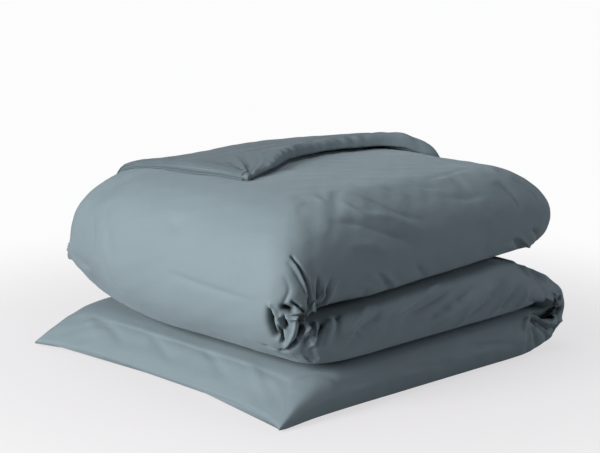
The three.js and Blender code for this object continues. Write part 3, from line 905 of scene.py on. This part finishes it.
def laid_on(tree, lines):
    """The same lines with more points, each moved onto the nearest place of the surface."""
    laid = []
    for line, depths, widths in lines:
        line = np.asarray(line, float) / 1000
        steps = np.linalg.norm(np.diff(line, axis=0), axis=1)
        marks = np.concatenate([[0], np.cumsum(steps)])
        count = max(5, int(marks[-1] / LINE_POINT_STEP))
        spots = smooth_path(line, marks, np.linspace(0, marks[-1], count))
        laid.append(([tuple(tree.find_nearest(Vector(spot))[0] * 1000) for spot in spots], depths, widths))
    return laid


FRONT_SIDE = -0.29  # the front side's lines lie beyond this in Y
BACK_LINE_DEPTH = 0.55  # share of a front line's depth that it has at the back


def at_back(lines):
    """Lines of the front side carried to the back side, where the stack has settled differently."""
    carried = []
    for line, depths, widths in lines:
        line = np.asarray(line, float) / 1000
        if line[:, 1].max() > FRONT_SIDE:
            continue
        above = np.where(line[:, 2] > lower_crease(line[:, 0]), 1.0, 0.0)
        mirrored = settle(line * (1, -1, 1), above) * 1000
        carried.append((mirrored, [BACK_LINE_DEPTH * depth for depth in depths], widths))
    return carried


def lines_push(points, lines, fades=False):
    """How far each point of a grid is pressed in by all of the lines."""
    flat = points.reshape(-1, 3)
    push = np.zeros(len(flat))
    for line, depths, widths in lines:
        push += line_push(flat, line, depths, widths, fades)
    return push.reshape(points.shape[:-1])


def grid_normals(points):
    """Outward normals of a grid whose columns close on themselves."""
    along = np.gradient(points, axis=0)
    across = np.roll(points, -1, axis=1) - np.roll(points, 1, axis=1)
    normals = np.cross(along, across)
    length = np.linalg.norm(normals, axis=-1, keepdims=True)
    return normals / np.maximum(length, 1e-9)


LOWER_CREASE_END = 0.33


def kept_apart(points):
    """The grid with each run held to its own side of the creases."""
    x, z = points[..., 0], points[..., 2].copy()
    row = pad.places[:, None]
    low, high = lower_crease(x), upper_crease(x)
    bottom = (row < pad.fold_low[0]) & (x < LOWER_CREASE_END)
    middle = (row > pad.fold_low[1]) & (row < pad.fold_high[0])
    top = row > pad.fold_high[1]
    z = np.where(bottom, np.minimum(z, low - SKIN_GAP), z)
    z = np.where(middle, np.clip(z, low + SKIN_GAP, high - SKIN_GAP), z)
    z = np.where(top, np.maximum(z, high + SKIN_GAP), z)
    return np.stack([x, points[..., 1], z], axis=-1)


PAINTED_SHADE_FROM = 0.004  # how far the cloth is pressed in where its painted shade starts,
PAINTED_SHADE_OVER = 0.012  # and over how much more the painted shade reaches its darkest
SHADOWED_DEPTH = 7  # lines deeper than this in mm also paint shade on the cloth beside them,
SHADOW_WIDENING = 1.25  # as lines wider by this
BROAD_BUMP, BROAD_BUMP_SIZE = 0.0016, 0.16
SMALL_BUMP, SMALL_BUMP_SIZE = 0.0007, 0.05


def shadows_beside(at_rest, tree, folds):
    """How much painted shade the cloth gets beside the deepest lines."""
    deep = [
        (line, depths, [width * SHADOW_WIDENING for width in widths])
        for line, depths, widths in folds
        if min(depths) > SHADOWED_DEPTH
    ]
    return np.clip(lines_push(at_rest, laid_on(tree, deep)) / 0.022 - 0.25, 0, 1)


def rumpled(at_rest, points):
    """The swollen grid with its fold and drag lines and unevenness, and the painted shade from how deep in a
    fold it lies.
    """
    tree = surface_tree(at_rest)
    folds = FRONT_FOLD_LINES + LOWER_FOLD_LINES
    push = lines_push(at_rest, laid_on(tree, folds + at_back(folds[1::3])))
    push += lines_push(at_rest, laid_on(tree, DRAG_LINES + at_back(DRAG_LINES[::2])), True)
    # Painted shade: the cloth darkens where it is pressed into a fold, and beside the deepest lines.
    pressed = np.clip((push - PAINTED_SHADE_FROM) / PAINTED_SHADE_OVER, 0, 1)
    pressed = np.maximum(pressed, shadows_beside(at_rest, tree, folds))
    broad = BROAD_BUMP * soft_noise(at_rest * (1, 0.6, 1), BROAD_BUMP_SIZE, 5)
    small = SMALL_BUMP * soft_noise(at_rest, SMALL_BUMP_SIZE, 11)
    push += free_share(at_rest) * (broad + small)
    return points - grid_normals(points) * push[..., None], pressed


def mark_painted_fold_shade(obj, amounts):
    """Store the painted shade from how deeply each point is pressed in, for the cloth's colour to darken by.
    """
    attribute = obj.data.attributes.new("pressed", "FLOAT", "POINT")
    attribute.data.foreach_set("value", amounts.reshape(-1).astype(np.float32))


pad = Pad()
at_rest = pad.grid()
points, pressed = rumpled(at_rest, swollen(at_rest))
points = kept_apart(points)
normals = grid_normals(points)
cut = int(np.argmin(np.abs(pad.places - pad.split)))
cover_lower = closed_grid("cover_lower", points[: cut + 1], cover_cloth)
cover_upper = closed_grid("cover_upper", points[cut:], cover_cloth)
shade_as_whole(cover_lower, normals[: cut + 1], -1)
shade_as_whole(cover_upper, normals[cut:], 0)
# The covers carry painted fold shade in their pressed attribute.
mark_painted_fold_shade(cover_lower, pressed[: cut + 1])
mark_painted_fold_shade(cover_upper, pressed[cut:])

INSERT_THICKNESS = 0.51  # share of the cover's
INSERT_BULGE = 0.05  # added in the middle of each channel
CHANNEL_PITCH = 0.15
FOLD_THINNING = 0.55  # share of the insert's thickness that the upper fold squeezes out
FOLD_THINNING_REACH = 0.06
INSERT_ROW_SKIP = 2
INSERT_FOOT_ROWS = 18  # rows left empty at the foot edge and at the end of the top run
INSERT_END_ROWS = 8


def quilted_grid():
    """The insert: the pad drawn in from its cover, with sewn channels across it."""
    inner = pad.level.copy()
    centre = inner[..., [0, 2]].mean(axis=1, keepdims=True)
    channel = np.abs(np.sin(np.pi * pad.places / CHANNEL_PITCH))[:, None, None]
    left, right = pad.fold_high
    in_fold = ease(pad.places, left - FOLD_THINNING_REACH, left)
    in_fold = in_fold * (1 - ease(pad.places, right, right + FOLD_THINNING_REACH))
    thinned = 1 - FOLD_THINNING * in_fold[:, None, None]
    thickness = (INSERT_THICKNESS + INSERT_BULGE * channel) * thinned
    inner[..., [0, 2]] = centre + (inner[..., [0, 2]] - centre) * thickness
    inner[..., 1] *= 0.62 + 0.18 * thinned[..., 0]
    inner = settle(inner, pad.above)
    return inner[::INSERT_ROW_SKIP, ::INSERT_ROW_SKIP]


def run_insert():
    """The insert of the three runs, cut where the cover is cut."""
    inner = quilted_grid()
    inside = inner[INSERT_FOOT_ROWS : len(inner) - INSERT_END_ROWS]
    middle = cut // INSERT_ROW_SKIP - INSERT_FOOT_ROWS
    lower = closed_grid("insert_lower", inside[: middle + 1], ticking_cloth)
    upper = closed_grid("insert_upper", inside[middle:], ticking_cloth)
    return lower, upper


insert_lower, insert_upper = run_insert()


# ------------------------------------------------------------------ the turned-back flap
# The flap's edges seen in plan: its mouth, its front edge and its back edge.
MOUTH_EDGE = [
    (-0.230, -0.102), (-0.232, -0.03), (-0.240, 0.05), (-0.238, 0.12), (-0.226, 0.21), (-0.222, 0.29),
    (-0.212, 0.350),
]
FLAP_FRONT = [
    (-0.230, -0.102), (-0.150, -0.078), (-0.04, -0.014), (0.07, 0.016), (0.16, 0.018), (0.235, -0.005),
    (0.285, -0.055), (0.312, -0.088), (0.336, -0.096),
]
FLAP_BACK = [(-0.212, 0.350), (-0.08, 0.352), (0.05, 0.352), (0.18, 0.350), (0.27, 0.346), (0.336, 0.338)]
FLAP_LENGTH = 0.56

# Creases in the flap, seen in plan, in millimetres: points, depths and widths as for the cover.
FLAP_LINES = [
    ([(-226, -94, 0), (-196, -30, 0), (-150, 60, 0)], (5, 1), (5, 12)),
    ([(-222, -92, 0), (-180, -45, 0), (-120, 30, 0)], (4, 1), (4, 12)),
    ([(-214, -92, 0), (-165, -60, 0), (-110, -5, 0)], (5, 2), (4, 10)),
    ([(-228, -88, 0), (-212, -20, 0), (-190, 50, 0)], (3, 1), (5, 12)),
    ([(-205, -90, 0), (-150, -52, 0), (-95, 12, 0)], (-4, -3), (5, 11)),
    ([(-224, -92, 0), (-188, -38, 0), (-135, 45, 0)], (-3, -2), (4, 9)),
    ([(-232, 255, 0), (-190, 215, 0), (-130, 190, 0)], (4, 1), (8, 16)),
    ([(-225, 300, 0), (-180, 275, 0), (-100, 260, 0)], (4, 1), (8, 16)),
    ([(-80, 60, 0), (10, 95, 0), (110, 90, 0)], (3, 2), (16, 20)),
    ([(-20, 10, 0), (70, 55, 0), (180, 50, 0)], (-3, -3), (14, 14)),
    ([(40, 40, 0), (140, 62, 0), (240, 30, 0)], (3, 4), (9, 11)),
    ([(120, 130, 0), (220, 100, 0), (290, 40, 0)], (3, 4), (12, 12)),
    ([(-120, 130, 0), (-20, 160, 0), (100, 170, 0)], (3, 2), (16, 20)),
    ([(296, -80, 0), (262, -30, 0), (250, 60, 0)], (6, 2), (5, 10)),
    ([(300, 20, 0), (262, 40, 0), (200, 110, 0)], (4, 1), (6, 12)),
]


def curve_through(points, places):
    """Points at the given shares of the length of a smooth curve through points."""
    points = np.asarray(points, float)
    steps = np.linalg.norm(np.diff(points, axis=0), axis=1)
    knots = np.concatenate([[0], np.cumsum(steps)]) / steps.sum()
    return smooth_path(points, knots, places)


FLAP_ROWS = 150
FLAP_COLUMNS = 130


def flap_plan():
    """Plan positions of the flap: u runs from the mouth to the end turn, v from front to back."""
    u = np.linspace(0, 1, FLAP_ROWS)
    v = np.linspace(0, 1, FLAP_COLUMNS)
    front = curve_through(FLAP_FRONT, u)
    back = curve_through(FLAP_BACK, u)
    mouth = curve_through(MOUTH_EDGE, v)
    straight = front[:, None] * (1 - v[None, :, None]) + back[:, None] * v[None, :, None]
    bow = mouth - (front[0] * (1 - v[:, None]) + back[0] * v[:, None])
    return straight + bow[None] * ((1 - u) ** 3)[:, None, None], u, v


def ground_heights(plan):
    """Heights of the stack's top at each place in plan, looked up from above."""
    tree = surface_tree(points)
    down = Vector((0, 0, -1))
    heights = []
    for row in plan:
        hits = [tree.ray_cast(Vector((x, y, 0.6)), down)[0] for x, y in row]
        heights.append([hit.z if hit is not None else 0.2 for hit in hits])
    return np.array(heights)


# The flap's make-up in metres: the thickness at its mouth, and how full and how far over the stack it lies.
FLAP_LIP = 0.004
FLAP_LIP_BULGE = 0.007
FLAP_SEAM = 0.003
FLAP_FULLNESS = 0.009
FLAP_THINNEST = 0.0028
FLAP_CLOTH = 0.0022
FLAP_REST = 0.0025
FLAP_FRONT_LIFT = 0.0055
END_ROUND = 0.032
END_SINK = 0.010
OVER_SINK = 0.006


def near(distance, width):
    """1 at no distance, and less the further off in terms of width."""
    return np.exp(-((distance / width) ** 2))


def flap_loft(plan, uu, vv, width):
    """Thickness of the flap: full in the front part, thin at its edges, creased and rippled at the mouth."""
    from_mouth = uu * FLAP_LENGTH
    from_front = vv * width
    from_back = (1 - vv) * width
    lip = FLAP_LIP + FLAP_LIP_BULGE * near(vv - 0.36, 0.20)
    shoulder = 0.060 - 0.030 * ease(uu, 0.10, 0.35)
    edge = np.minimum(np.minimum(from_mouth / 0.07, from_front / shoulder), from_back / 0.06)
    reach = np.clip(edge, 0, 1)
    front = 1 - 0.80 * ease(vv, 0.02, 0.55)
    fullness = FLAP_FULLNESS + front * (0.010 * ease(uu, 0.05, 0.30) + 0.015 * ease(uu, 0.55, 0.97))
    loft = lip * (1 - ease(from_mouth, 0.0, 0.06)) + FLAP_SEAM + fullness * np.sqrt(reach * (2 - reach))
    loft -= lines_push(np.dstack([plan, np.zeros_like(uu)]), FLAP_LINES) * ease(from_mouth, 0.0, 0.02)
    ripple = np.sin(from_mouth / 0.0068 + 2.2 * np.sin(from_mouth / 0.031))
    ripple = ripple + 0.6 * np.sin(from_mouth / 0.0041 + 1.0)
    loft += 0.0013 * ripple * near(from_front, 0.020) * ease(from_mouth, 0.02, 0.06)
    ripple = np.sin(from_front / 0.009 + 1.7 * np.sin(from_front / 0.05))
    loft += 0.0006 * ripple * near(from_mouth - 0.03, 0.02)
    return np.maximum(loft, FLAP_THINNEST)


def flap_shells():
    """The flap's places in plan with the heights of its lower and upper cloth."""
    plan, u, v = flap_plan()
    heights = blurred(ground_heights(plan), 5)
    uu, vv = np.meshgrid(u, v, indexing="ij")
    width = np.linalg.norm(plan[:, -1] - plan[:, 0], axis=-1)[:, None]
    from_end = (1 - uu) * FLAP_LENGTH
    loft = flap_loft(plan, uu, vv, width)
    lift = FLAP_REST + FLAP_FRONT_LIFT * near(vv * width, 0.03) * ease(uu, 0.03, 0.12)
    tuck = 1 - ease(from_end, 0.0, 0.030)
    under = heights + lift * (1 - tuck) - END_SINK * tuck
    end = np.clip(from_end / END_ROUND, 0, 1)
    over = heights - OVER_SINK + (lift + loft + OVER_SINK) * np.sqrt(end * (2 - end))
    return plan, under, np.maximum(over, under + FLAP_CLOTH)


def blurred(field, times):
    """A field of heights, each averaged with those next to it, a number of times."""
    for _ in range(times):
        wide = np.pad(field, 1, mode="edge")
        beside = wide[:-2, 1:-1] + wide[2:, 1:-1] + wide[1:-1, :-2] + wide[1:-1, 2:]
        field = (beside + 4 * wide[1:-1, 1:-1]) / 8
    return field


def shell_object(name, plan, under, over, material):
    """A closed thin piece between its lower and upper heights over a grid of places in plan."""
    rows, columns = plan.shape[:2]
    low = np.dstack([plan, under]).reshape(-1, 3)
    high = np.dstack([plan, over]).reshape(-1, 3)
    index = np.arange(rows * columns).reshape(rows, columns)
    top = index + rows * columns
    faces = []
    for grid, flip in ((index, True), (top, False)):
        quads = np.stack([grid[:-1, :-1], grid[1:, :-1], grid[1:, 1:], grid[:-1, 1:]], axis=-1)
        faces += [tuple(q[::-1]) if flip else tuple(q) for q in quads.reshape(-1, 4)]
    ring = np.concatenate([index[0, :-1], index[:-1, -1], index[-1, :0:-1], index[:0:-1, 0]])
    for a, b in zip(ring, np.roll(ring, -1)):
        faces.append((a, b, b + rows * columns, a + rows * columns))
    obj = mesh_object(name, np.concatenate([low, high]), faces, material)
    outward(obj)
    return obj


def flap_insert(plan, under, over):
    """The thin end of the insert, well inside the flap."""
    inside = np.s_[14:-16:2, 10:-10:2]
    thick = (over - under)[inside]
    low = under[inside] + 0.22 * thick
    channel = np.abs(np.sin(np.pi * plan[inside][..., 0] / CHANNEL_PITCH))
    high = over[inside] - 0.22 * thick - 0.10 * thick * channel
    return shell_object("insert_flap", plan[inside], low, high, ticking_cloth)


HEM_DEPTH = 0.024
HEM_THICKNESS = 0.0026
HEM_LIP = 0.0022  # how far the hem stands out of the mouth
HEM_ROWS = 12  # the flap's rows that the hem lies over


def hem_band(name, line, inward, heights, depth, thick, material):
    """A band of doubled cloth along a line, rounded at its lip.

    heights holds, for each place on the line, a function from the distance inward to the underside's height.
    """
    profile = []
    for i in range(9):
        turn = math.pi / 2 + math.pi * i / 8
        profile.append((0.5 * thick * (1 + math.cos(turn)), 0.5 * thick * (1 - math.sin(turn))))
    profile = [(a, thick - b) for a, b in profile]
    profile += [(depth * k / 4, 0.0) for k in range(1, 5)] + [(depth * k / 4, thick) for k in range(4, 0, -1)]
    rows = []
    for place, way, rise in zip(line, inward, heights):
        rows.append([(place[0] + way[0] * a, place[1] + way[1] * a, rise(a) + b) for a, b in profile])
    return closed_grid(name, np.array(rows), material)


def flap_hems(plan, under, over):
    """The two doubled lips of the mouth, one on the flap's upper cloth and one under its lower cloth."""
    line, inward, upper, lower = [], [], [], []
    distance = np.linalg.norm(plan[:HEM_ROWS] - plan[:1], axis=-1)

    def height_over(field, column, sunk):
        def rise(a):
            return float(np.interp(a - HEM_LIP, distance[:, column], field[:HEM_ROWS, column])) - sunk
        return rise

    for k in range(4, FLAP_COLUMNS - 4):
        way = plan[HEM_ROWS - 1, k] - plan[0, k]
        way = way / np.linalg.norm(way)
        inward.append(way)
        line.append(plan[0, k] - way * HEM_LIP)
        upper.append(height_over(over, k, 0.0012))
        lower.append(height_over(under, k, 0.0020))
    top = hem_band("upper_hem", line, inward, upper, HEM_DEPTH, HEM_THICKNESS, reverse_cloth)
    bottom = hem_band("lower_hem", line, inward, lower, HEM_DEPTH, HEM_THICKNESS, reverse_cloth)
    return top, bottom


def stitch_tree():
    """Small thread stitches laid end to end along a line."""
    tree = bpy.data.node_groups.new("stitch_row", "GeometryNodeTree")
    face = tree.interface
    face.new_socket(name="Line", in_out="INPUT", socket_type="NodeSocketGeometry")
    for label, value in (("Stitch Pitch", 0.0036), ("Stitch Length", 0.0026), ("Thread Radius", 0.0003)):
        socket = face.new_socket(name=label, in_out="INPUT", socket_type="NodeSocketFloat")
        socket.default_value = value
    face.new_socket(name="Thread", in_out="INPUT", socket_type="NodeSocketMaterial")
    face.new_socket(name="Stitches", in_out="OUTPUT", socket_type="NodeSocketGeometry")
    nodes, links = tree.nodes, tree.links
    given, result = nodes.new("NodeGroupInput"), nodes.new("NodeGroupOutput")
    curve = nodes.new("GeometryNodeMeshToCurve")
    spaced = nodes.new("GeometryNodeCurveToPoints")
    spaced.mode = "LENGTH"
    stitch = nodes.new("GeometryNodeMeshUVSphere")
    stitch.inputs["Segments"].default_value = 8
    stitch.inputs["Rings"].default_value = 6
    stitch.inputs["Radius"].default_value = 1.0
    size = nodes.new("ShaderNodeCombineXYZ")
    half = nodes.new("ShaderNodeMath")
    half.operation = "MULTIPLY"
    half.inputs[1].default_value = 0.5
    lay = nodes.new("GeometryNodeInstanceOnPoints")
    real = nodes.new("GeometryNodeRealizeInstances")
    paint = nodes.new("GeometryNodeSetMaterial")
    links.new(given.outputs["Line"], curve.inputs["Mesh"])
    links.new(curve.outputs["Curve"], spaced.inputs["Curve"])
    links.new(given.outputs["Stitch Pitch"], spaced.inputs["Length"])
    links.new(given.outputs["Stitch Length"], half.inputs[0])
    links.new(given.outputs["Thread Radius"], size.inputs["X"])
    links.new(given.outputs["Thread Radius"], size.inputs["Y"])
    links.new(half.outputs[0], size.inputs["Z"])
    links.new(spaced.outputs["Points"], lay.inputs["Points"])
    links.new(spaced.outputs["Rotation"], lay.inputs["Rotation"])
    links.new(stitch.outputs["Mesh"], lay.inputs["Instance"])
    links.new(size.outputs["Vector"], lay.inputs["Scale"])
    links.new(lay.outputs["Instances"], real.inputs["Geometry"])
    links.new(real.outputs["Geometry"], paint.inputs["Geometry"])
    links.new(given.outputs["Thread"], paint.inputs["Material"])
    links.new(paint.outputs["Geometry"], result.inputs["Stitches"])
    return tree


def stitched(name, line, tree):
    """A mesh of stitches along a line of points."""
    mesh = bpy.data.meshes.new(name + "_line")
    mesh.from_pydata([tuple(p) for p in line], [(i, i + 1) for i in range(len(line) - 1)], [])
    guide = bpy.data.objects.new(name + "_line", mesh)
    bpy.context.collection.objects.link(guide)
    modifier = guide.modifiers.new("stitches", "NODES")
    modifier.node_group = tree
    for item in tree.interface.items_tree:
        if item.in_out == "INPUT" and item.name == "Thread":
            modifier[item.identifier] = thread
    bpy.context.view_layer.update()
    shown = guide.evaluated_get(bpy.context.evaluated_depsgraph_get())
    made = bpy.data.meshes.new_from_object(shown)
    bpy.data.objects.remove(guide)
    for polygon in made.polygons:
        polygon.use_smooth = True
    obj = bpy.data.objects.new(name, made)
    bpy.context.collection.objects.link(obj)
    return obj


STITCH_INSET = 0.0185
STITCH_RISE = 0.0014


def hem_stitch_line(plan, over):
    """A line of points on top of the upper hem, near its inner edge."""
    line = []
    for k in range(6, FLAP_COLUMNS - 6):
        distance = np.linalg.norm(plan[:HEM_ROWS, k] - plan[0, k], axis=-1)
        x, y = [float(np.interp(STITCH_INSET, distance, plan[:HEM_ROWS, k, axis])) for axis in (0, 1)]
        line.append((x, y, float(np.interp(STITCH_INSET, distance, over[:HEM_ROWS, k])) + STITCH_RISE))
    return line


# ------------------------------------------------------------------ tapes, buttons and label
CAD_FLAP_CORNER = (-0.226, -0.118)  # where the CAD flap's grid of places starts in plan, and its size
CAD_FLAP_SIZE = (0.538, 0.472)
RING_STEPS = 72
TAPE_STEPS = 12
LAID_CLEAR = 0.001  # from the flap's lower cloth to what lies on it
LOOP_CLEAR = 0.0024  # the same for a loop, which lies over its tie
BUTTON_INSET = 0.004


def inside_flap(x, y):
    """Height of the flap's lower cloth at a place in plan."""
    apart = np.linalg.norm(plan - (x, y), axis=-1)
    row, column = np.unravel_index(int(apart.argmin()), apart.shape)
    return float(under[row, column])


def seated_box(node, clear):
    """A CAD node's box, moved with the cloth it is sewn to.

    What is in the mouth goes onto the flap's lower cloth, and what is at the foot into the bowed foot edge.
    """
    low, high = [np.array(corner, float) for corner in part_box(node)]
    middle = (low + high) / 2
    if low[2] > 0.3:
        row = np.clip((middle[0] - CAD_FLAP_CORNER[0]) / CAD_FLAP_SIZE[0], 0, 1) * (FLAP_ROWS - 1)
        column = np.clip((middle[1] - CAD_FLAP_CORNER[1]) / CAD_FLAP_SIZE[1], 0, 1) * (FLAP_COLUMNS - 1)
        x, y = plan[int(round(row)), int(round(column))]
        move = np.array([x, y, inside_flap(x, y) + clear + (high[2] - low[2]) / 2]) - middle
    else:
        move = settle(middle, 0.0) - middle
    return low + move, high + move


def ribbon_ring(node, material, waves, clear):
    """A loop of narrow woven tape in the place of a CAD ring, slightly uneven as tape is."""
    low, high = seated_box(node, clear)
    x, y, z = (low + high) / 2
    outer = min(high[0] - low[0], high[1] - low[1]) / 2
    tall = high[2] - low[2]
    grid = []
    for i in range(RING_STEPS):
        turn = 2 * math.pi * i / RING_STEPS
        radius = outer * (0.80 + 0.012 * math.sin(waves * turn))
        row = []
        for j in range(TAPE_STEPS):
            side = 2 * math.pi * j / TAPE_STEPS
            out = radius + 0.17 * outer * math.cos(side)
            rise = 0.42 * tall * math.sin(side) * (1 + 0.1 * math.sin(waves * turn + 1))
            row.append((x + out * math.cos(turn), y + out * math.sin(turn), z + rise))
        grid.append(row)
    index = np.arange(RING_STEPS * TAPE_STEPS).reshape(RING_STEPS, TAPE_STEPS)
    below, beside = np.roll(index, -1, axis=0), np.roll(index, -1, axis=1)
    faces = np.stack([index, beside, np.roll(below, -1, axis=1), below], axis=-1).reshape(-1, 4)
    obj = mesh_object(node + "_tape", np.array(grid).reshape(-1, 3), faces.tolist(), material)
    outward(obj)
    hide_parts(node)
    return obj


def sewn_button(number):
    """A four-hole button with softened rims, seated on the flap's lower cloth."""
    node = f"button_{number}"
    low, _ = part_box(node)
    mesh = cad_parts[node].data.copy()
    obj = bpy.data.objects.new(f"sewn_button_{number}", mesh)
    bpy.context.collection.objects.link(obj)
    seated = seated_box(node, LAID_CLEAR)[0] + (BUTTON_INSET, 0, 0)
    body = bmesh.new()
    body.from_mesh(mesh)
    bmesh.ops.remove_doubles(body, verts=body.verts, dist=1e-6)
    bmesh.ops.translate(body, verts=body.verts, vec=tuple(seated - np.array(low)))
    bmesh.ops.recalc_face_normals(body, faces=body.faces)
    body.to_mesh(mesh)
    body.free()
    mesh.materials.clear()
    mesh.materials.append(button_plastic)
    rims = obj.modifiers.new("soft_rims", "BEVEL")
    rims.width = 0.0003
    rims.segments = 3
    rims.limit_method = "ANGLE"
    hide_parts(node)
    return obj


def blank_label():
    """A blank woven label, a little bowed, in the place of the CAD one."""
    low, high = seated_box("care_label", LAID_CLEAR)
    along, across = np.meshgrid(np.linspace(0.02, 0.98, 25), np.linspace(0.02, 0.98, 13), indexing="ij")
    size = high - low
    plan = np.dstack([low[0] + size[0] * across, low[1] + size[1] * along])
    tall = size[2]
    bow = 0.25 * tall * np.sin(np.pi * along)
    under = low[2] + 0.1 * tall + bow
    obj = shell_object("blank_label", plan, under, under + 0.5 * tall, label_cloth)
    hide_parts("care_label")
    return obj


plan, under, over = flap_shells()
flap = shell_object("flap_cover", plan, under, over, reverse_cloth)
upper_hem, lower_hem = flap_hems(plan, under, over)
insert_flap = flap_insert(plan, under, over)
stitches = stitched("hem_stitches", hem_stitch_line(plan, over), stitch_tree())

# ------------------------------------------------------------------ baked pieces, the bodies that the small pieces follow, and the CAD parts hidden for them
for piece in (cover_lower, insert_lower):
    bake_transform(piece)
for piece in (cover_upper, insert_upper):
    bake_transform(piece)
for piece in (flap, insert_flap):
    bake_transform(piece)
for piece in (upper_hem, lower_hem, stitches):
    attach(piece, "flap")

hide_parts("cover_bottom")
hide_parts("cover_middle", "cover_top")
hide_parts("cover_flap")
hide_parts("hem_upper")
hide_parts("hem_lower")
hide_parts("ticking_bottom", "filling_bottom")
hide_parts("ticking_middle", "filling_middle", "ticking_top", "filling_top")
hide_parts("ticking_flap", "filling_flap")

for place in ("foot_front", "foot_back", "mouth_front", "mouth_back"):
    body = "bottom_run" if place.startswith("foot") else "flap"
    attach(ribbon_ring("tie_" + place, tape_cloth, 3, LAID_CLEAR), body)
    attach(ribbon_ring("loop_" + place, ticking_cloth, 5, LOOP_CLEAR), body)
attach(blank_label(), "flap")
for number in range(1, 6):
    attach(sewn_button(number), "flap")
